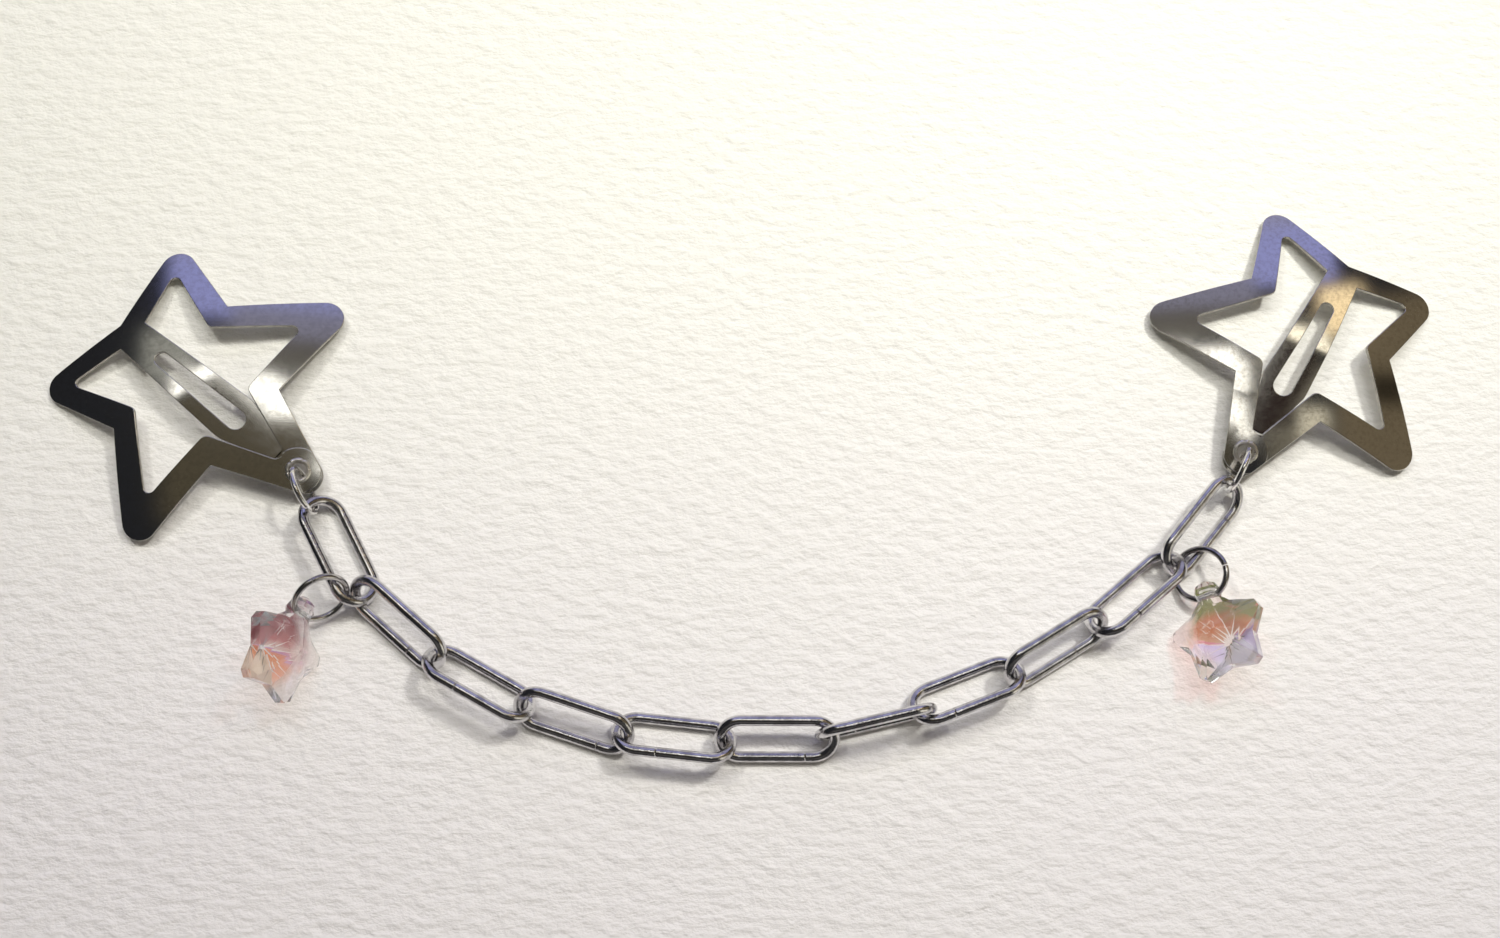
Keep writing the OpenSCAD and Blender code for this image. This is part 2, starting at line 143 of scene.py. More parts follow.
# name, from left to right, from front to back, softness, colour
ROOM = [
    ("overhead shade", (-0.46, 0.1), (-0.2, 0.2), 0.06, (0.105, 0.088, 0.058)),
    ("olive overhead", (0.23, 0.42), (-0.12, 0.03), 0.03, (0.2, 0.18, 0.14)),
    ("dark overhead", (0.205, 0.36), (0.035, 0.22), 0.02, (0.016, 0.006, 0.005)),
    ("grey wall", (-0.3, 0.34), (0.38, 0.54), 0.03, (0.14, 0.128, 0.108)),
    ("front of the table", (-0.6, 0.75), (-0.9, -0.5), 0.08, (0.09, 0.085, 0.08)),
    ("bright right wall", (0.62, 0.95), (-0.65, -0.1), 0.06, (1.0, 0.95, 0.8)),
    ("warm wall", (0.5, 0.95), (-0.2, 0.5), 0.04, (0.19, 0.15, 0.095)),
    ("dark shelf", (0.6, 0.74), (0.13, 0.24), 0.04, (0.02, 0.016, 0.01)),
    ("window", (-0.46, 0.52), (0.56, 1.2), 0.025, (0.4, 0.42, 0.84)),
    ("far wall", (-0.9, 0.9), (0.76, 1.2), 0.05, (0.4, 0.39, 0.54)),
    ("window sill", (-0.24, 0.24), (0.5, 0.61), 0.035, (0.3, 0.295, 0.4)),
    ("left lamp shade", (-0.53, -0.36), (0.33, 0.5), 0.03, (0.42, 0.42, 0.38)),
    ("card left", (-0.43, -0.05), (0.245, 0.36), 0.02, (2.6, 2.55, 2.4)),
    ("card middle", (-0.09, 0.14), (0.195, 0.335), 0.02, (2.6, 2.55, 2.4)),
    ("card right", (0.12, 0.18), (-0.03, 0.29), 0.018, (2.1, 2.05, 1.9)),
    ("card corner", (0.25, 0.48), (0.24, 0.4), 0.03, (1.9, 1.75, 1.4)),
    ("peach lamp", (0.46, 0.6), (0.38, 0.54), 0.03, (1.6, 1.25, 0.75)),
    ("pale wall", (0.36, 0.47), (-0.04, 0.1), 0.03, (0.9, 0.83, 0.65))]
colour = blend_colour(room, ramp(room, dz, *UNDER_TABLE, 1.0, 0.0), (*SHADE, 1), (*LOW, 1))
for name, across, along, soft, light in ROOM:
    colour = blend_colour(room, patch(across, along, soft), colour, (*light, 1))
shine = add(room, "ShaderNodeBackground", {"Color": colour}).outputs[0]
add(room, "ShaderNodeOutputWorld", {"Surface": shine})
bpy.context.scene.world = world
print("the room has", len(ROOM), "patches")

# %% [markdown]
# ## Lamps
# Three soft discs of light, on the left, on the right and overhead, give the paper its tone and the
# pieces their shadows. They are hidden from reflections, where the room's patches do that work, and from
# rays through glass, which would light the paper under a glass star twice.


# %% Lamps
def lamp(name, place, aim, size, watts, colour, spread=80):
    data = bpy.data.lights.new(name, "AREA")
    data.shape = "DISK"
    data.size = size
    data.energy = watts
    data.spread = math.radians(spread)
    data.color = colour
    light = bpy.data.objects.new(name, data)
    direction = Vector(aim) - Vector(place)
    turn = direction.to_track_quat("-Z", "Y").to_matrix().to_4x4()
    light.matrix_world = Matrix.Translation(place) @ turn
    light.visible_glossy = False
    light.visible_transmission = False
    bpy.context.scene.collection.objects.link(light)
    return light


lamp("lamp_left", (-0.22, 0.26, 0.5), (-0.04, 0.07, 0), 0.08, 0.165, (1.0, 0.985, 0.9))
lamp("lamp_right", (0.27, 0.25, 0.5), (0.07, 0.05, 0), 0.08, 0.37, (1.0, 0.985, 0.92))
lamp("lamp_over", (0.05, 0.3, 0.6), (0.03, 0.14, 0), 0.35, 0.32, (1.0, 0.99, 0.93))
bpy.context.scene.view_settings.view_transform = "Standard"

# %% [markdown]
# ## Floor
# The chain lies on plain pale watercolour paper. Its grain is one fine noise, used as a bump and drawn out a
# little across, as the felt of the paper mill leaves it. Real displacement would need millions of faces for
# a grain this fine. The tone is painted fall-off of light: darker and pinkish at the front as painted shade,
# brighter and yellowish at the back, where the lamps stand. A broad faint stain keeps it from looking like
# plastic.

# %% Floor
FLOOR_SIZE = 3
DRAWN_OUT = (0.6, 1.0, 1.0)
FELT = {"Scale": 560, "Detail": 4, "Roughness": 0.55}
# The front tone is darker, as painted shade, and the back tone brighter, as painted light from the lamps behind.
FRONT_PAINTED_SHADE, BACK_PAINTED_LIGHT, STAIN = (0.86, 0.832, 0.845, 1), (0.9, 0.895, 0.83, 1), (0.87, 0.86, 0.81, 1)
paper = bpy.data.materials.new("watercolour_paper")
paper.use_nodes = True
tree = paper.node_tree
tree.nodes.clear()
place = add(tree, "ShaderNodeTexCoord").outputs["Object"]
stretched = add(tree, "ShaderNodeMapping", {0: place, 3: DRAWN_OUT}).outputs[0]
felt = add(tree, "ShaderNodeTexNoise", {"Vector": stretched, **FELT})
tone = add(tree, "ShaderNodeTexNoise", {"Vector": place, "Scale": 9, "Detail": 2}).outputs[0]
grain = add(tree, "ShaderNodeBump", {"Height": felt.outputs[0], "Distance": 0.0008, "Strength": 0.8})
up = add(tree, "ShaderNodeSeparateXYZ", {0: place}).outputs[1]
# Painted fall-off of light, from the brighter back to the darker front.
warm = blend_colour(tree, ramp(tree, up, -0.06, 0.06), FRONT_PAINTED_SHADE, BACK_PAINTED_LIGHT)
colour = blend_colour(tree, ramp(tree, tone, 0.3, 0.7, 0.0, 0.25), warm, STAIN)
inputs = {"Base Color": colour, "Roughness": 0.85, "Normal": grain.outputs[0]}
body = add(tree, "ShaderNodeBsdfPrincipled", inputs)
add(tree, "ShaderNodeOutputMaterial", {"Surface": body.outputs[0]})
bpy.ops.mesh.primitive_plane_add(size=FLOOR_SIZE)
floor = bpy.context.object
floor.name = "floor"
floor.data.materials.append(paper)
print("floor:", floor.name, "with", paper.name)

# %% [markdown]
# ## Metals
# All the metal here is plated steel, so one recipe serves, with other numbers for each part. Plate is a
# metal shader with a low roughness. Fine unevenness of the plate goes into the bump, tarnish goes into
# the colour and the roughness as soft blotches. Sheet also carries brushed lines, which run along the
# strip that it was stamped from, so its pattern is turned to the heading of its clip.

# %% Metal recipe
HAIR_TONE, HAIR_SHARE = (0.3, 0.29, 0.27, 1), 0.16
ALONG_THE_STRIP = (40, 2600, 40)


def metal(name, bright, dull, gloss, blotch, dent, brushing=None, patchy=(0.38, 0.66)):
    made = bpy.data.materials.new(name)
    made.use_nodes = True
    tree = made.node_tree
    tree.nodes.clear()
    place = add(tree, "ShaderNodeTexCoord").outputs["Object"]
    inputs = {"Vector": place, "Scale": blotch, "Detail": 5, "Roughness": 0.62}
    clouds = add(tree, "ShaderNodeTexNoise", inputs)
    share = ramp(tree, clouds.outputs[0], *patchy)
    colour = blend_colour(tree, share, (*bright, 1), (*dull, 1))
    rough = ramp(tree, clouds.outputs[0], 0.35, 0.7, *gloss)
    dent_size, dent_depth = dent
    inputs = {"Vector": place, "Scale": 1 / dent_size, "Detail": 3, "Roughness": 0.55}
    pits = add(tree, "ShaderNodeTexNoise", inputs)
    inputs = {"Height": pits.outputs[0], "Distance": dent_depth, "Strength": 1.0}
    skin = add(tree, "ShaderNodeBump", inputs)
    if brushing:
        heading, depth = brushing
        inputs = {0: place, 2: (0, 0, -math.radians(heading)), 3: ALONG_THE_STRIP}
        lines = add(tree, "ShaderNodeMapping", inputs, vector_type="POINT").outputs[0]
        hairs = add(tree, "ShaderNodeTexNoise", {"Vector": lines, "Scale": 1.6, "Detail": 2}).outputs[0]
        inputs = {"Height": hairs, "Distance": depth, "Strength": 1.0, "Normal": skin.outputs[0]}
        skin = add(tree, "ShaderNodeBump", inputs)
        colour = blend_colour(tree, maths(tree, "MULTIPLY", hairs, HAIR_SHARE), colour, HAIR_TONE)
    inputs = {"Base Color": colour, "Metallic": 1.0, "Roughness": rough, "Normal": skin.outputs[0]}
    body = add(tree, "ShaderNodeBsdfPrincipled", inputs)
    add(tree, "ShaderNodeOutputMaterial", {"Surface": body.outputs[0]})
    return made


# %% [markdown]
# ## The metals of this chain
# Each metal names its bright and its dull tone, how glossy and how rough it gets, how fine its blotches are,
# and the size and depth of its dents. The two clips are the same part, and their plates differ a little,
# because the photograph shows them so. The sheared edge is the bare steel that the punch left, and its
# tones are made darker still as painted shade, for the shadow under the rim.

# %% Metals
HEADING = {"left": -38.5, "right": 238.0}
BRUSH_DEPTH = 0.0000008
plate = {
    "left": metal("brushed_plate_left", (0.64, 0.63, 0.6), (0.56, 0.545, 0.51), (0.11, 0.15), 1100,
                  (0.0002, 0.0000011), (HEADING["left"], BRUSH_DEPTH)),
    "right": metal("brushed_plate_right", (0.66, 0.645, 0.61), (0.54, 0.515, 0.47), (0.1, 0.14), 1500,
                   (0.0002, 0.0000008), (HEADING["right"], BRUSH_DEPTH), (0.4, 0.75))}
# The cut rim's tones are bare steel, darkened further as painted shade for the shadow under the rim.
sheared_and_shaded = metal("sheared_edge_painted_shade", (0.4, 0.38, 0.35), (0.26, 0.24, 0.22), (0.28, 0.42), 900,
                (0.0004, 0.000012))
rivet_plate = metal("bright_rivet", (0.96, 0.93, 0.86), (0.7, 0.67, 0.6), (0.26, 0.42), 900,
                    (0.0006, 0.00004))
wire_plate = metal("drawn_wire", (0.66, 0.65, 0.66), (0.44, 0.43, 0.44), (0.1, 0.22), 500,
                   (0.00035, 0.000025))
ring_plate = metal("clip_ring_wire", (0.84, 0.83, 0.82), (0.6, 0.59, 0.58), (0.1, 0.2), 600,
                   (0.0004, 0.00002))
dark_plate = metal("dark_ring_wire", (0.55, 0.53, 0.53), (0.36, 0.35, 0.34), (0.1, 0.2), 600,
                   (0.0004, 0.000015))
metals = [*plate.values(), sheared_and_shaded, rivet_plate, wire_plate, ring_plate, dark_plate]
print("metals:", [m.name for m in metals])

# %% [markdown]
# ## Wire parts with Geometry Nodes
# Links and jump rings are made the same way in a workshop: a length of round wire is bent along a path
# and its two ends are pressed together. So one tree makes them all. Its base is a line of points from
# one end to the other, and its inputs are the wire's diameter, the number of sides, and how far each end
# is rounded over by the cutter. A profile circle is swept along the line. The ends never quite meet, which
# leaves the hairline seam that real links show.

# %% Tree that sweeps a wire
CUT_END = 0.8


def wire_tree():
    tree = bpy.data.node_groups.new("bent_wire", "GeometryNodeTree")
    sockets = {}
    wanted = [("Path", "NodeSocketGeometry"), ("Wire", "NodeSocketFloat"), ("Sides", "NodeSocketInt"),
              ("End rounding", "NodeSocketFloat"), ("Finish", "NodeSocketMaterial")]
    for name, kind in wanted:
        sockets[name] = tree.interface.new_socket(name, in_out="INPUT", socket_type=kind).identifier
    tree.interface.new_socket("Body", in_out="OUTPUT", socket_type="NodeSocketGeometry")
    given = add(tree, "NodeGroupInput").outputs
    path = add(tree, "GeometryNodeMeshToCurve", {0: given["Path"]}).outputs[0]
    walked = add(tree, "GeometryNodeSplineParameter").outputs["Length"]
    whole = add(tree, "GeometryNodeSplineLength").outputs["Length"]
    from_end = maths(tree, "MINIMUM", walked, maths(tree, "SUBTRACT", whole, walked))
    scale = ramp(tree, from_end, 0.0, given["End rounding"], CUT_END, 1.0, "LINEAR")
    circle = add(tree, "GeometryNodeCurvePrimitiveCircle",
                 {"Resolution": given["Sides"], "Radius": maths(tree, "MULTIPLY", given["Wire"], 0.5)})
    inputs = {"Curve": path, "Profile Curve": circle.outputs[0], "Scale": scale, "Fill Caps": True}
    body = add(tree, "GeometryNodeCurveToMesh", inputs).outputs[0]
    body = add(tree, "GeometryNodeSetShadeSmooth", {0: body}).outputs[0]
    body = add(tree, "GeometryNodeRealizeInstances", {0: body}).outputs[0]
    body = add(tree, "GeometryNodeSetMaterial", {0: body, 2: given["Finish"]}).outputs[0]
    add(tree, "NodeGroupOutput", {0: body})
    return tree, sockets


bent_wire, wire_socket = wire_tree()
print("inputs of the tree:", list(wire_socket))


# %% [markdown]
# ## From a path to a finished wire
# The path is a plain mesh of points and edges in the part's own flat plane. The modifier's inputs are set
# by the identifiers of its sockets before Blender first evaluates the object. Then the result is copied to
# a plain mesh, the modifier goes, and the mesh is turned to where its CAD node lies.


# %% Make one wire part
def make_wire(name, path, place, wire, finish, sides=28, end_rounding=0.07):
    line = bpy.data.meshes.new(name)
    line.from_pydata([place @ (Vector((x, y, 0)) * MM) for x, y in path],
                     [(i, i + 1) for i in range(len(path) - 1)], [])
    piece = bpy.data.objects.new(name, line)
    bpy.context.scene.collection.objects.link(piece)
    sweep = piece.modifiers.new("sweep", "NODES")
    sweep.node_group = bent_wire
    values = {"Wire": wire * MM, "Sides": sides, "End rounding": end_rounding * MM, "Finish": finish}
    for key, value in values.items():
        sweep[wire_socket[key]] = value
    return flatten(piece)


def flatten(piece):
    evaluated = piece.evaluated_get(bpy.context.evaluated_depsgraph_get())
    mesh = bpy.data.meshes.new_from_object(evaluated, preserve_all_data_layers=True,
                                           depsgraph=bpy.context.evaluated_depsgraph_get())
    piece.modifiers.clear()
    piece.data = mesh
    mesh.name = piece.name
    return piece


def finish_piece(piece, node):
    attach(piece, "root")
    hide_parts(node)
    return piece


# %% [markdown]
# ## Where each wire part lies
# A CAD node keeps its place in its mesh, so the mesh must tell where the part is. The spread of the
# surface about its middle has three axes of its own: for a link the longest is its length and the
# shortest is square to its plane. The middle is the centre of the box round the part along those axes.


# %% Read a node's place
def surface(node):
    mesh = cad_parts[node].data
    mesh.calc_loop_triangles()
    points = np.array([v.co for v in mesh.vertices])
    corners = points[np.array([t.vertices for t in mesh.loop_triangles])]
    area = np.linalg.norm(np.cross(corners[:, 1] - corners[:, 0], corners[:, 2] - corners[:, 0]), axis=1)
    return points, corners.mean(1), area


def own_axes(node):
    points, middles, area = surface(node)
    centre = (middles * area[:, None]).sum(0) / area.sum()
    spread = ((middles - centre) * area[:, None]).T @ (middles - centre)
    sizes, axes = np.linalg.eigh(spread)
    x, z = axes[:, 2], axes[:, 0] * (1 if axes[2, 0] > 0 else -1)
    basis = np.array([x, np.cross(z, x), z])
    along = points @ basis.T
    centre = ((along.min(0) + along.max(0)) / 2) @ basis
    place = Matrix([[*basis[:, i], centre[i]] for i in range(3)] + [[0, 0, 0, 1]])
    return place, (along - (along.min(0) + along.max(0)) / 2) / MM


place, local = own_axes("link_06")
print("link_06 measures", np.ptp(local, axis=0).round(2), "mm along its own axes")

# %% [markdown]
# ## Links
# Each link is a stadium: two straight sides and two half rounds. Its path starts at the seam, which a
# chain machine leaves on one long side, and runs all the way round to it again. Points are close at the
# seam and in the bends, and far apart on the straights, where nothing happens. Where a seam lies on its
# side is drawn at random, with a fixed seed, so that the chain comes out the same each time.

# %% Links
LINK = {"length": 18.9, "width": 8.05, "wire": 1.65, "seam": 0.016}
LINK_END_ROUNDING = 0.012
FROM_SEAM = (0.0, 0.006, 0.012, 0.2, 0.6)
SEAM_OFF_MIDDLE = (2.2, 4.4)
BEND_STEPS = 25


def link_path(seam_at):
    bend = (LINK["width"] - LINK["wire"]) / 2
    straight = (LINK["length"] - LINK["wire"]) / 2 - bend
    half = LINK["seam"] / 2
    near = [half + step for step in FROM_SEAM]
    start = [(seam_at + d, bend) for d in near]
    angles = np.linspace(0, math.pi, BEND_STEPS)
    right = [(straight + bend * math.sin(a), bend * math.cos(a)) for a in angles]
    left = [(-straight - bend * math.sin(a), -bend * math.cos(a)) for a in angles]
    middle = [(s, -bend) for s in np.linspace(straight, -straight, 8)[1:-1]]
    end = [(seam_at - d, bend) for d in reversed(near)]
    return start + right + middle + left + end


rng = np.random.default_rng(11)
for n in range(1, 12):
    node = f"link_{n:02d}"
    place, local = own_axes(node)
    path = link_path(rng.choice([-1, 1]) * rng.uniform(*SEAM_OFF_MIDDLE))
    piece = make_wire(f"{node}_wire", path, place, LINK["wire"], wire_plate,
                      end_rounding=LINK_END_ROUNDING)
    finish_piece(piece, node)
print("a link has", len(piece.data.polygons), "faces and its path", len(path), "points")

# %% [markdown]
# ## Jump rings
# A jump ring is a single turn of wire cut from a coil, so its ends face each other across a saw cut. The
# CAD ring has that slit. Its two end faces are the ones that look along the wire, and they tell where the
# slit is and how wide. Each ring says what share of the CAD's slit it keeps: most are pressed nearly shut,
# and the right charm ring is left open.

# %% Rings
CLIP_RING_WIRE, CHARM_RING_WIRE = 0.9, 0.95
NEARLY_SHUT, LEFT_OPEN = 0.15, 0.9
LOOKS_ALONG = 0.98
RING_SIDES, RING_STEPS, RING_END_ROUNDING = 24, 90, 0.03


def mean_angle(angles):
    ways = [(math.sin(math.radians(a)), math.cos(math.radians(a))) for a in angles]
    return math.degrees(math.atan2(*np.mean(ways, 0)))


def make_ring(node, name, wire, finish, opened):
    place, local = own_axes(node)
    radius = (np.ptp(local[:, 0]) + np.ptp(local[:, 1])) / 4 - wire / 2
    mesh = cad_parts[node].data
    inwards = place.inverted()
    ends = []
    for t in mesh.loop_triangles:
        at = inwards @ (sum((mesh.vertices[v].co for v in t.vertices), Vector()) / 3)
        way = Vector((-at.y, at.x, 0)).normalized()
        if abs(way @ (inwards.to_3x3() @ t.normal)) > LOOKS_ALONG:
            ends.append(math.degrees(math.atan2(at.y, at.x)))
    slit = mean_angle(ends)
    half = max(abs((a - slit + 180) % 360 - 180) for a in ends) * opened
    steps = [half, half + 0.5, half + 1.5, *np.linspace(half + 5, 355 - half, RING_STEPS)]
    steps += [360 - half - 1.5, 360 - half - 0.5, 360 - half]
    angles = np.radians(slit + np.array(steps))
    path = [(radius * math.cos(a), radius * math.sin(a)) for a in angles]
    print(name, "radius", round(radius, 2), "mm, slit of", round(2 * half, 1), "degrees")
    return make_wire(name, path, place, wire, finish, RING_SIDES, RING_END_ROUNDING)


for side, opened in (("left", NEARLY_SHUT), ("right", LEFT_OPEN)):
    piece = make_ring(f"{side}_clip_ring", f"{side}_clip_ring_wire", CLIP_RING_WIRE, ring_plate,
                      NEARLY_SHUT)
    finish_piece(piece, f"{side}_clip_ring")
    piece = make_ring(f"{side}_charm_ring", f"{side}_charm_ring_wire", CHARM_RING_WIRE, dark_plate,
                      opened)
    finish_piece(piece, f"{side}_charm_ring")

# %% [markdown]
# ## The star blank, cut flat
# A snap clip starts as a flat blank, punched from strip in one stroke: a star, its opening, and a slotted
# tongue that stays joined at the back. The two front legs are cut apart, so that one can lap the other.
# The outlines repeat the CAD's own numbers: shares of the star's length, half width and point radius.

# %% Sizes of the clip, in mm
LENGTH, HALF_WIDTH, POINT_R = 38.2, 20.9, 2.8
SHEET, BOW_R, CREASE_DIP = 0.55, 90.0, 4.5
STAR = [(1, 0, 1), (0.696, 0.368, 0), (0.618, 1, 1), (0.288, 0.608, 0), (0, 0.6, 1), (0, 0, 0),
        (0, -0.6, 1), (0.288, -0.608, 0), (0.618, -1, 1), (0.696, -0.368, 0)]
OPENING = [(0.937, 0, 0.36), (0.594, 0.227, 0.45), (0.581, 0.856, 0.32), (0.298, 0.397, 0.45),
           (0.007, 0.565, 0.32), (0.079, 0.115, 0.18)]
TONGUE = [(0.03, 0.127, 0), (0.64, 0.186, 1.8), (0.912, 0.045, 0.32)]
BOW_TOP = 0.534 * LENGTH
CREASE = 0.43 * LENGTH
SLOT = (0.244 * LENGTH, 0.641 * LENGTH, 1.1, 1.55)
EYELET_X = LENGTH - 1.1
EYELET_HOLE = 1.6
TAB_R, HIDDEN_R, RISE_FROM, RISE_TO = 3.5, 3.2, 10.0, 3.3
LEG_INNER, LEG_OUTER = -1.9, 4

# %% [markdown]
# ## Outlines
# Each outline is a closed line of points in the flat plane. A corner is rounded by an arc that touches both
# of its edges, and a point of the star by an arc round its middle. A curve object could round them too, but
# plain points can go straight into the triangulation of the next step.


# %% Outlines
def arc(centre, radius, start, turn, steps):
    angles = np.linspace(start, start + turn, steps)
    return [centre + radius * np.array([math.cos(a), math.sin(a)]) for a in angles]


def unit(v):
    return v / np.linalg.norm(v)


def angle_of(v):
    return math.atan2(v[1], v[0])


def round_corner(before, corner, after, radius, steps=9):
    if radius == 0:
        return [corner]
    u, w = unit(before - corner), unit(after - corner)
    half = math.acos(u @ w) / 2
    centre = corner + unit(u + w) * radius / math.sin(half)
    start = angle_of(corner + u * radius / math.tan(half) - centre)
    stop = angle_of(corner + w * radius / math.tan(half) - centre)
    return arc(centre, radius, start, (stop - start + 3 * math.pi) % (2 * math.pi) - math.pi, steps)


def round_point(before, centre, after, radius, steps=17):
    a, b = before - centre, after - centre
    start = angle_of(a) + math.acos(radius / np.linalg.norm(a))
    stop = angle_of(b) - math.acos(radius / np.linalg.norm(b))
    return arc(centre, radius, start, (stop - start) % (2 * math.pi), steps)


def in_plan(row):
    return np.array([row[0] * LENGTH, row[1] * HALF_WIDTH])


def rounded(rows):
    corners = [(in_plan(r), r[2] * POINT_R) for r in rows]
    count = len(corners)
    return [p for i, (c, r) in enumerate(corners)
            for p in round_corner(corners[i - 1][0], c, corners[(i + 1) % count][0], r)]


def mirrored(rows):
    return [(x, -y, r) for x, y, r in reversed(rows)]


star = []
for i, row in enumerate(STAR):
    before, after = in_plan(STAR[i - 1]), in_plan(STAR[(i + 1) % len(STAR)])
    star += round_point(before, in_plan(row), after, POINT_R) if row[2] else [in_plan(row)]
opening = rounded(OPENING + mirrored(OPENING[1:]))
tongue = rounded(TONGUE + mirrored(TONGUE))
taper = math.asin((SLOT[3] - SLOT[2]) / (SLOT[1] - SLOT[0]))
slot = arc(np.array([SLOT[1], 0]), SLOT[3], -math.pi / 2 - taper, math.pi + 2 * taper, 15)
slot += arc(np.array([SLOT[0], 0]), SLOT[2], math.pi / 2 + taper, math.pi - 2 * taper, 15)
rivet = np.array([EYELET_X, 0])
lap_way = unit(in_plan(STAR[9]) + in_plan((OPENING[1][0], -OPENING[1][1])) - 2 * rivet)
lap_side = np.array([-lap_way[1], lap_way[0]])
corners = ((0, LEG_INNER), (0, LEG_OUTER), (RISE_FROM, LEG_OUTER), (RISE_FROM, LEG_INNER))
lap_leg = [rivet + s * lap_way + t * lap_side for s, t in corners]
circles = [arc(rivet, r, 0, 2 * math.pi * 47 / 48, 48) for r in (TAB_R, HIDDEN_R, EYELET_HOLE)]
half_crease = np.interp(CREASE, [r[0] * LENGTH for r in TONGUE[:2]],
                        [r[1] * HALF_WIDTH for r in TONGUE[:2]])
bend = [np.array((CREASE, half_crease)), np.array((CREASE, -half_crease))]
tongue_back = [tongue[0], *bend, tongue[-1]]
tongue_front = [bend[0], *[p for p in tongue if p[0] > CREASE], bend[1]]
print("outlines have", [len(o) for o in (star, opening, tongue, slot)], "points")
print("the flat blank measures", [round(float(v), 1) for v in np.ptp(np.array(star), axis=0)], "mm")

# %% [markdown]
# ## Cutting the blank
# The blank is cut in three layers: the frame with the back of the tongue, the leg that laps over it, and the
# front of the tongue. A constrained triangulation takes the outlines of one layer with a grid of extra
# points inside, and says for every triangle which outlines it lies in, which tells if it is kept. The grid
# matters later, because only a fine mesh bows smoothly. It keeps clear of the outlines, since a sliver
# beside a rim would spoil its rolled edge. Where an inner outline runs close to a rim its points are
# dropped, except on the tab, whose edge shows.

# %% Cut the blank
RIM_STEP, FINE_STEP = 0.8, 0.2
OFF_RIM, OFF_OUTLINE = 0.3, 0.34
GRID_X, GRID_Y, GRID_SHIFT = 0.75, 0.85, 0.42
GRID_MARGIN, GRID_HALF = 3, 24


def turned_left(outline):
    x, y = np.array(outline).T
    area = (x * np.roll(y, -1) - y * np.roll(x, -1)).sum()
    return outline if area > 0 else outline[::-1]


def spaced(outline, most=RIM_STEP):
    out = []
    for a, b in zip(outline, outline[1:] + outline[:1]):
        steps = max(1, math.ceil(np.linalg.norm(b - a) / most))
        out += [a + (b - a) * i / steps for i in range(steps)]
    return out


RIMS = dict(star=star, opening=opening, slot=slot, hole=circles[2])
LAYERS = {"frame": dict(RIMS, leg=lap_leg, hidden=circles[1], tongue=tongue_back),
          "lapped leg": dict(RIMS, leg=lap_leg, tab=circles[0]),
          "tongue's front": dict(slot=slot, tongue=tongue_front)}


def belongs(layer, within):
    framed = "star" in within and not within & {"opening", "hole"}
    if layer == "frame":
        return (framed and ("leg" not in within or "hidden" in within)) or (
            {"tongue", "opening"} <= within and "slot" not in within)
    if layer == "lapped leg":
        return framed and bool(within & {"leg", "tab"})
    return "tongue" in within and "slot" not in within


def far_from(others, point, least):
    return np.min(np.hypot(*(others - point).T)) > least


def cut_layer(layer):
    outlines = LAYERS[layer]
    rims = np.array([p for name, line in outlines.items() if name in RIMS
                     for p in spaced(line, FINE_STEP)])
    points, faces = [], []
    for name, line in outlines.items():
        corners = {tuple(p) for p in line} if name in ("leg", "tongue") else set()
        line = [p for p in spaced(turned_left(line))
                if name in RIMS or name == "tab" or tuple(p) in corners or far_from(rims, p, OFF_RIM)]
        faces.append(list(range(len(points), len(points) + len(line))))
        points += line
    edge = np.array([p for line in outlines.values() for p in spaced(line, FINE_STEP)])
    for i, x in enumerate(np.arange(-GRID_MARGIN, LENGTH + GRID_MARGIN, GRID_X)):
        for y in np.arange(-GRID_HALF, GRID_HALF, GRID_Y) + GRID_SHIFT * (i % 2):
            if far_from(edge, (x, y), OFF_OUTLINE):
                points.append(np.array((x, y)))
    made = delaunay_2d_cdt([Vector(p) for p in points], [], faces, 1, 1e-5)
    names = list(outlines)
    kept = [tri for tri, held in zip(made[2], made[5]) if belongs(layer, {names[h] for h in held})]
    return made[0], kept


layers = [cut_layer(layer) for layer in LAYERS]
print("triangles:", {layer: len(tris) for layer, (_, tris) in zip(LAYERS, layers)})

# %% [markdown]
# ## Pressing the blank
# The press bows the star to a shallow dome, creases the tongue and lifts one leg over the other. In
# Geometry Nodes that is one Set Position, whose height follows a rule. The dome is a ball's cap. In
# front of its crease the tongue is a slope, and a smooth minimum of slope and dome leaves a soft bend, as a
# press tool does. The lapped leg climbs by one thickness on its way to the rivet, in a straight slope as in
# the CAD. Merge by Distance then joins the layers where they meet again.

# %% The press as a tree
ROOT_HALF, HAIR, WELD = 0.005, 1e-6, 0.000004


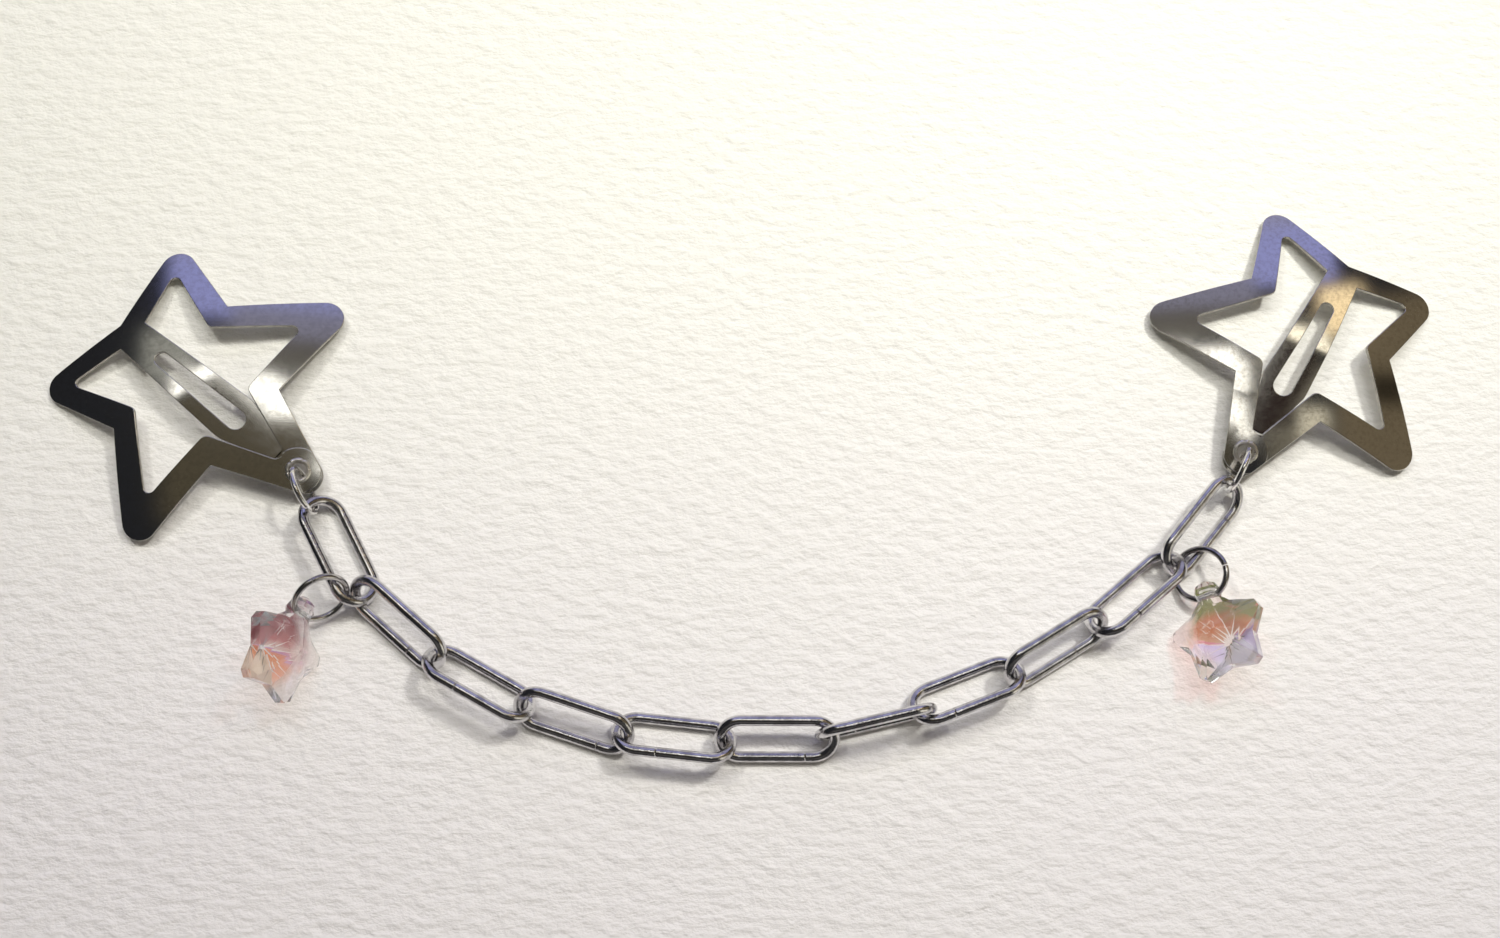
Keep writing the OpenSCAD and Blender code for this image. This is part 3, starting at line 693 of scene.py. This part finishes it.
def press_tree():
    tree = bpy.data.node_groups.new("press", "GeometryNodeTree")
    sockets = {}
    wanted = [("Blank", "Geometry"), ("Bow radius", "Float"), ("Bow middle", "Float"), ("Bow depth", "Float"),
              ("Crease", "Float"), ("Tongue dip", "Float"), ("Crease softness", "Float"), ("Lap height", "Float"),
              ("Rivet", "Float"), ("Lap way", "Vector"), ("Finish", "Material")]
    for name, kind in wanted:
        socket = tree.interface.new_socket(name, in_out="INPUT", socket_type="NodeSocket" + kind)
        sockets[name] = socket.identifier
    tree.interface.new_socket("Sheet", in_out="OUTPUT", socket_type="NodeSocketGeometry")
    given = add(tree, "NodeGroupInput").outputs
    at = add(tree, "GeometryNodeInputPosition").outputs[0]
    x, y, _ = add(tree, "ShaderNodeSeparateXYZ", {0: at}).outputs
    off = maths(tree, "SUBTRACT", x, given["Bow middle"])

    def dome(off):
        flat = maths(tree, "ADD", maths(tree, "MULTIPLY", off, off), maths(tree, "MULTIPLY", y, y))
        rise = maths(tree, "SUBTRACT", maths(tree, "MULTIPLY", given["Bow radius"], given["Bow radius"]), flat)
        return maths(tree, "ADD", maths(tree, "SQRT", rise), given["Bow depth"])

    past = maths(tree, "SUBTRACT", x, given["Crease"])
    bowed = dome(off)
    slope = maths(tree, "SUBTRACT", dome(maths(tree, "SUBTRACT", given["Crease"], given["Bow middle"])),
                  maths(tree, "MULTIPLY", past, maths(tree, "TANGENT", given["Tongue dip"])))
    bent = maths(tree, "SMOOTH_MIN", bowed, slope, given["Crease softness"])
    sheet = add(tree, "GeometryNodeInputNamedAttribute", {"Name": "sheet"}, data_type="FLOAT").outputs[0]
    near = maths(tree, "MULTIPLY", maths(tree, "LESS_THAN", maths(tree, "ABSOLUTE", y), ROOT_HALF),
                 maths(tree, "LESS_THAN", past, HAIR))
    tongue = maths(tree, "MAXIMUM", maths(tree, "GREATER_THAN", sheet, 1.5), near)
    height = add(tree, "ShaderNodeMix", {0: tongue, 2: bowed, 3: bent}).outputs[0]
    from_rivet = add(tree, "ShaderNodeCombineXYZ",
                     {0: maths(tree, "SUBTRACT", x, given["Rivet"]), 1: y}).outputs[0]
    walked = add(tree, "ShaderNodeVectorMath", {0: from_rivet, 1: given["Lap way"]},
                 operation="DOT_PRODUCT").outputs["Value"]
    climb = ramp(tree, walked, RISE_TO * MM, RISE_FROM * MM, 1.0, 0.0, "LINEAR")
    lapped = maths(tree, "COMPARE", sheet, 1.0, 0.1)
    lift = maths(tree, "MULTIPLY", maths(tree, "MULTIPLY", climb, lapped), given["Lap height"])
    place = add(tree, "ShaderNodeCombineXYZ", {0: x, 1: y, 2: maths(tree, "ADD", height, lift)}).outputs[0]
    body = add(tree, "GeometryNodeSetPosition", {0: given["Blank"], 2: place}).outputs[0]
    body = add(tree, "GeometryNodeMergeByDistance", {0: body, 2: WELD}).outputs[0]
    body = add(tree, "GeometryNodeSetShadeSmooth", {0: body}).outputs[0]
    body = add(tree, "GeometryNodeRealizeInstances", {0: body}).outputs[0]
    body = add(tree, "GeometryNodeSetMaterial", {0: body, 2: given["Finish"]}).outputs[0]
    add(tree, "NodeGroupOutput", {0: body})
    return tree, sockets


press, press_socket = press_tree()
reach = np.linalg.norm(in_plan(STAR[4]) - (BOW_TOP, 0)) + POINT_R
bow_depth = -math.sqrt(BOW_R ** 2 - reach ** 2)
print("the dome stands", round(BOW_R + bow_depth, 2), "mm high under the sheet")


# %% [markdown]
# ## From sheet to clip
# Solidify gives the pressed surface its thickness, downwards, and marks the cut rim with the second
# material. A bevel of about a tenth of a millimetre rolls the punched edge over, and keeps the flat faces'
# own normals, so that the edge catches the light as a fine line and the polished face stays flat. Its clamp
# is off, because a clamp narrows the whole bevel to what the shortest edge allows. The clip is then set
# under its rivet: the middle of the CAD rivet is where the sheet's top passes the rivet's axis.

# %% Clips
ROLLED_EDGE, EDGE_ANGLE = 0.12, 50
CREASE_SOFTNESS, LAP_GAP = 0.00032, 0.02


def make_clip(side):
    points, faces, sheet = [], [], []
    for number, (flat, tris) in enumerate(layers):
        used = sorted({v for tri in tris for v in tri})
        index = {v: len(points) + i for i, v in enumerate(used)}
        points += [(flat[v].x * MM, flat[v].y * MM, 0) for v in used]
        faces += [[index[v] for v in tri] for tri in tris]
        sheet += [float(number)] * len(used)
    name = f"{side}_star_clip_pressed"
    mesh = bpy.data.meshes.new(name)
    mesh.from_pydata(points, [], faces)
    mesh.attributes.new("sheet", "FLOAT", "POINT").data.foreach_set("value", sheet)
    mesh.materials.append(plate[side])
    mesh.materials.append(sheared_and_shaded)
    piece = bpy.data.objects.new(name, mesh)
    bpy.context.scene.collection.objects.link(piece)
    pressing = piece.modifiers.new("press", "NODES")
    pressing.node_group = press
    values = {"Bow radius": (BOW_R + SHEET) * MM, "Bow middle": BOW_TOP * MM, "Bow depth": bow_depth * MM,
              "Crease": CREASE * MM, "Tongue dip": math.radians(CREASE_DIP),
              "Crease softness": CREASE_SOFTNESS, "Lap height": (SHEET + LAP_GAP) * MM,
              "Rivet": EYELET_X * MM, "Finish": plate[side]}
    for key, value in values.items():
        pressing[press_socket[key]] = value
    pressing[press_socket["Lap way"]] = (*lap_way, 0.0)
    wall = piece.modifiers.new("thickness", "SOLIDIFY")
    wall.thickness = SHEET * MM
    wall.offset = -1
    wall.use_even_offset = True
    wall.material_offset_rim = 1
    rolled = piece.modifiers.new("rolled edge", "BEVEL")
    rolled.width = ROLLED_EDGE * MM
    rolled.segments = 3
    rolled.use_clamp_overlap = False
    rolled.limit_method = "ANGLE"
    rolled.angle_limit = math.radians(EDGE_ANGLE)
    rolled.material = 0
    rolled.harden_normals = True
    flatten(piece)
    lo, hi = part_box(f"{side}_eyelet")
    heading = math.radians(HEADING[side])
    corner = (lo + hi) / 2 - EYELET_X * MM * Vector((math.cos(heading), math.sin(heading), 0))
    moved = Matrix.Translation((corner.x, corner.y, 0))
    piece.data.transform(moved @ Matrix.Rotation(heading, 4, "Z"))
    return piece


def distance_to_cad(piece, node):
    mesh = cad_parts[node].data
    tree = BVHTree.FromPolygons([v.co for v in mesh.vertices], [p.vertices for p in mesh.polygons])
    away = [tree.find_nearest(v.co)[3] for v in piece.data.vertices]
    return max(away) / MM, sum(away) / len(away) / MM


for side in ("left", "right"):
    piece = finish_piece(make_clip(side), f"{side}_star_clip")
    far, mean = distance_to_cad(piece, f"{side}_star_clip")
    print(piece.name, len(piece.data.polygons), "faces, at most", round(far, 2), "and on average",
          round(mean, 3), "mm off the CAD")

# %% [markdown]
# ## Rivets
# A hollow rivet is a short tube whose two rims are rolled over the sheet. The punch that rolls them splits
# the rim into a few lobes, so no two look alike. The section is a closed line of radius and height, turned
# in many steps, and in each step the outer part of the roll is drawn in a little, or left as it is.


# %% Rivets
BORE_R, WALL, ROLL = 1.25, 0.3, 0.36
SEAT = SHEET + 0.05
FILLET = 0.06
SPLITS, SPLIT_WIDTH, SPLIT_DEPTH = 6, 0.11, 0.75
WAVES, WAVE_DEPTH = 5, 0.1
DRAWN_IN, SUNK, UNDERSIDE = 0.3, 0.14, 0.3


def rivet_section():
    angles = np.linspace(0, math.pi, 13)
    top = [(BORE_R + ROLL - ROLL * math.cos(a), SEAT + ROLL * math.sin(a)) for a in angles]
    low = [(r, -z) for r, z in reversed(top)]
    return top + [(BORE_R + WALL + FILLET, SEAT), (BORE_R + WALL, SEAT - FILLET),
                  (BORE_R + WALL, FILLET - SEAT), (BORE_R + WALL + FILLET, -SEAT)] + low


def make_rivet(side, seed, steps=120):
    rng = np.random.default_rng(seed)
    splits = np.sort(rng.uniform(0, 2 * math.pi, SPLITS))
    section = np.array(rivet_section())
    points = []
    for a in np.linspace(0, 2 * math.pi, steps, endpoint=False):
        gap = np.min(np.abs((a - splits + math.pi) % (2 * math.pi) - math.pi))
        notch = SPLIT_DEPTH * math.exp(-(gap / SPLIT_WIDTH) ** 2) + WAVE_DEPTH * math.sin(WAVES * a + seed)
        for r, z in section:
            rolled = max(0.0, (r - BORE_R - 0.1) / (2 * ROLL)) * (1 if z > 0 else UNDERSIDE)
            r -= rolled * 2 * ROLL * DRAWN_IN * max(0.0, notch)
            z -= rolled * SUNK * max(0.0, notch) * (1 if z > SEAT else 0)
            points.append((r * math.cos(a) * MM, r * math.sin(a) * MM, z * MM))
    count = len(section)
    faces = [(i * count + k, (i + 1) % steps * count + k, (i + 1) % steps * count + (k + 1) % count,
              i * count + (k + 1) % count) for i in range(steps) for k in range(count)]
    mesh = bpy.data.meshes.new(f"{side}_eyelet_rolled")
    mesh.from_pydata(points, [], faces)
    mesh.materials.append(rivet_plate)
    shaper = bmesh.new()
    shaper.from_mesh(mesh)
    bmesh.ops.recalc_face_normals(shaper, faces=shaper.faces)
    shaper.to_mesh(mesh)
    shaper.free()
    mesh.transform(own_axes(f"{side}_eyelet")[0])
    mesh.shade_smooth()
    piece = bpy.data.objects.new(mesh.name, mesh)
    bpy.context.scene.collection.objects.link(piece)
    return piece


for side, seed in (("left", 3), ("right", 8)):
    piece = finish_piece(make_rivet(side, seed), f"{side}_eyelet")
    print(piece.name, len(piece.data.polygons), "faces")

# %% [markdown]
# ## Glass stars
# The stars are clear glass with a thin rainbow coating on one side. The coating lies on facets that face the
# floor and is seen through the clear front. It is a film mixed into the glass, whose colour runs along the
# star and shifts with the way that each facet faces. That colour is partly the coating's own hues and partly
# painted reflection: its dark stops stand for the dark room mirrored in the coating, and its palest stops are
# painted highlights. Blender can also take a thin film by its thickness, but then no colour can be put in a
# place of its own. The clear facets carry a little haze, as worn glass does. Light that only casts a shadow
# passes straight through, tinted, so that the paper under a star isn't black.

# %% Glass
# The stops of each coating are partly its hues and partly painted reflection: dark stops for the mirrored dark
# room, palest stops as painted highlights.
COATING = {
    "left": dict(colours=[(0.0, (0.55, 0.9, 0.95)), (0.12, (0.3, 0.05, 0.08)), (0.4, (0.42, 0.08, 0.1)),
                          (0.5, (0.93, 0.88, 0.85)), (0.57, (0.95, 0.2, 0.05)), (0.68, (0.55, 0.42, 0.96)),
                          (0.84, (0.93, 0.3, 0.1)), (1.0, (0.9, 0.7, 0.55))],
                 runs=(-0.35, -0.9, 0.1), coated=(-0.9, 0.25, 0.0), edge=(-0.8, 1.4), shadow=(0.97, 0.88, 0.82)),
    "right": dict(colours=[(0.0, (0.8, 0.88, 0.75)), (0.14, (0.2, 0.24, 0.02)), (0.4, (0.26, 0.27, 0.02)),
                           (0.47, (0.75, 0.2, 0.04)), (0.55, (0.9, 0.5, 0.3)), (0.6, (0.95, 0.93, 0.93)),
                           (0.7, (0.85, 0.25, 0.28)), (0.8, (0.72, 0.5, 0.97)), (1.0, (0.9, 0.85, 0.97))],
                  runs=(0.25, -0.95, 0.1), coated=(0.9, 0.2, 0.0), edge=(-2.2, 0.4), shadow=(0.99, 0.76, 0.74))}
CLEAR = (0.95, 0.955, 0.965, 1)
MILK = (0.86, 0.87, 0.88, 1)
HAZE, FILM = 0.1, 0.85
SPAN, FACET_SHIFT = 0.011, 0.75


def glass(name, coating=None, middle=None):
    made = bpy.data.materials.new(name)
    made.use_nodes = True
    tree = made.node_tree
    tree.nodes.clear()
    place = add(tree, "ShaderNodeTexCoord").outputs["Object"]
    ripple = add(tree, "ShaderNodeTexNoise", {"Vector": place, "Scale": 420, "Detail": 2})
    skin = add(tree, "ShaderNodeBump", {"Height": ripple.outputs[0], "Distance": 0.00002, "Strength": 0.6})
    inputs = {"Base Color": CLEAR, "Roughness": 0.0, "IOR": 1.44, "Transmission Weight": 1.0,
              "Coat Weight": 0.9, "Coat Roughness": 0.02, "Normal": skin.outputs[0]}
    shown = add(tree, "ShaderNodeBsdfPrincipled", inputs).outputs[0]
    milk = add(tree, "ShaderNodeBsdfTranslucent", {"Color": MILK}).outputs[0]
    haze = HAZE
    if coating:
        from_middle = add(tree, "ShaderNodeVectorMath", {0: place, 1: middle},
                          operation="SUBTRACT").outputs[0]
        colour, share = coating_and_painted_reflection(tree, coating, from_middle)
        film = {"Base Color": colour, "Roughness": 0.2, "Metallic": 0.4, "Specular IOR Level": 1.0}
        milk = add(tree, "ShaderNodeBsdfPrincipled", film).outputs[0]
        haze = maths(tree, "MULTIPLY", share, FILM)
    shown = add(tree, "ShaderNodeMixShader", {0: haze, 1: shown, 2: milk}).outputs[0]
    tint = (*coating["shadow"], 1) if coating else CLEAR
    clear = add(tree, "ShaderNodeBsdfTransparent", {0: tint})
    path = add(tree, "ShaderNodeLightPath").outputs["Is Shadow Ray"]
    shown = add(tree, "ShaderNodeMixShader", {0: path, 1: shown, 2: clear.outputs[0]}).outputs[0]
    add(tree, "ShaderNodeOutputMaterial", {"Surface": shown})
    return made


def along_way(tree, vector, way):
    node = add(tree, "ShaderNodeVectorMath", {0: vector, 1: way}, operation="DOT_PRODUCT")
    return node.outputs["Value"]


def coating_and_painted_reflection(tree, coating, place):
    along = along_way(tree, place, coating["runs"])
    across = along_way(tree, place, coating["coated"])
    facing = add(tree, "ShaderNodeNewGeometry").outputs["True Normal"]
    lean = along_way(tree, facing, coating["runs"])
    shift = maths(tree, "MULTIPLY", lean, FACET_SHIFT)
    walked = ramp(tree, along, -SPAN, SPAN, kind="LINEAR")
    spread = add(tree, "ShaderNodeValToRGB", {0: maths(tree, "SUBTRACT", walked, shift)})
    stops = spread.color_ramp.elements
    while len(stops) < len(coating["colours"]):
        stops.new(0.5)
    for stop, (at, rgb) in zip(stops, coating["colours"]):
        stop.position, stop.color = at, (*rgb, 1)
    return spread.outputs[0], ramp(tree, across, *(e * MM for e in coating["edge"]))


clear_glass = glass("clear_glass")
print("coating colours:", {side: len(c["colours"]) for side, c in COATING.items()})

# %% [markdown]
# ## Cutting the glass stars
# The facets come from the CAD, whose mesh is loose triangles: a copy is merged and its flat facets are
# joined up. The flat tables at the front and the back are drawn in towards their middles, because the real
# stars come almost to a point there. A hair of bevel on the edges between facets is what makes them glint.

# %% Glass stars
WELD_GLASS, TABLE_DEPTH, TABLE_SHARE = 2e-6, 0.00005, 0.3
SAME_FACET, GROUND_ANGLE, GROUND_WIDTH = 0.6, 9, 0.025
FACES_DOWN, LEAST_FACET = -0.12, 1.5e-6


def make_glass_star(side):
    node = f"{side}_glass_star"
    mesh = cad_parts[node].data.copy()
    mesh.name = f"{node}_cut"
    shaper = bmesh.new()
    shaper.from_mesh(mesh)
    bmesh.ops.remove_doubles(shaper, verts=shaper.verts, dist=WELD_GLASS)
    flat = own_axes(node)[0]
    to_flat = flat.inverted()
    levels = {v: to_flat @ v.co for v in shaper.verts}
    for way in (1, -1):
        top = max(way * p.z for p in levels.values())
        table = [v for v, p in levels.items() if way * p.z > top - TABLE_DEPTH]
        middle = sum((v.co for v in table), Vector()) / len(table)
        for v in table:
            v.co = middle + (v.co - middle) * TABLE_SHARE
    print(node, "tables of", len(table), "corners")
    bmesh.ops.dissolve_limit(shaper, angle_limit=math.radians(SAME_FACET), verts=shaper.verts,
                             edges=shaper.edges)
    shaper.to_mesh(mesh)
    shaper.free()
    lo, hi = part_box(node)
    middle = (lo + hi) / 2
    mesh.materials.clear()
    mesh.materials.append(clear_glass)
    mesh.materials.append(glass(f"coated_glass_{side}", COATING[side], middle))
    for face in mesh.polygons:
        face.use_smooth = False
        face.material_index = 1 if face.normal.z < FACES_DOWN and face.area > LEAST_FACET else 0
    piece = bpy.data.objects.new(mesh.name, mesh)
    bpy.context.scene.collection.objects.link(piece)
    ground = piece.modifiers.new("ground edges", "BEVEL")
    ground.width = GROUND_WIDTH * MM
    ground.segments = 1
    ground.limit_method = "ANGLE"
    ground.angle_limit = math.radians(GROUND_ANGLE)
    ground.material = -1
    return flatten(piece)


for side in ("left", "right"):
    piece = finish_piece(make_glass_star(side), f"{side}_glass_star")
    coated = sum(p.material_index for p in piece.data.polygons)
    print(piece.name, len(piece.data.polygons), "faces,", coated, "coated")
